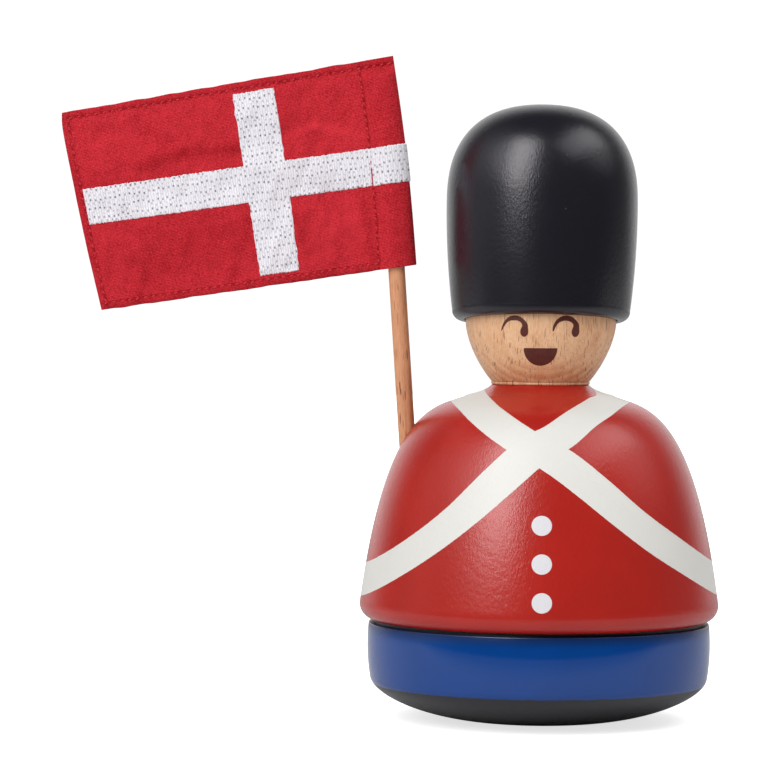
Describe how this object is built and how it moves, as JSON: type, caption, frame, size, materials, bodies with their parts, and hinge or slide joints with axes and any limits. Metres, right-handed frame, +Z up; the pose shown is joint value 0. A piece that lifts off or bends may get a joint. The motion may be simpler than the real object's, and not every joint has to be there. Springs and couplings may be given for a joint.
{
  "type": "toy soldier figure",
  "caption": "Turned wooden guardsman figure with a tall hat, a painted coat and a cotton flag with a cross on a dowel pole.",
  "frame": {"origin": "centre of the flat that the figure stands on, on its turning axis", "axes": "+Z up the figure's axis, +X towards its left hand, -Y the way that its face looks"},
  "size_m": [0.1541, 0.0838, 0.1547],
  "materials": {
    "beech": "clear satin",
    "coat_paint": "gloss paint on turned wood",
    "base_paint": "gloss paint on turned wood",
    "hat_paint": "satin paint on turned wood",
    "flag_cotton": "woven cotton",
    "flag_thread": "embroidered thread"
  },
  "bodies": {
    "figure": {"base": "base_paint", "base_dowel": "beech", "coat": "coat_paint", "neck_dowel": "beech", "head": "beech", "crown_dowel": "beech", "hat": "hat_paint"},
    "pole": {"flagpole": "beech"},
    "flag": {"flag_cloth": "flag_cotton", "flag_cross": "flag_thread"}
  },
  "joints": [
    {"name": "pole_lift", "type": "slide", "parent": "figure", "child": "pole", "axis": [-0.0689, 0, 0.9976], "range_m": [0, 0.03]},
    {"name": "flag_swing", "type": "hinge", "parent": "pole", "child": "flag", "pos_m": [-0.02968, 0.00202, 0.046], "axis": [-0.0689, 0, 0.9976], "range_deg": [-120, 120]}
  ]
}
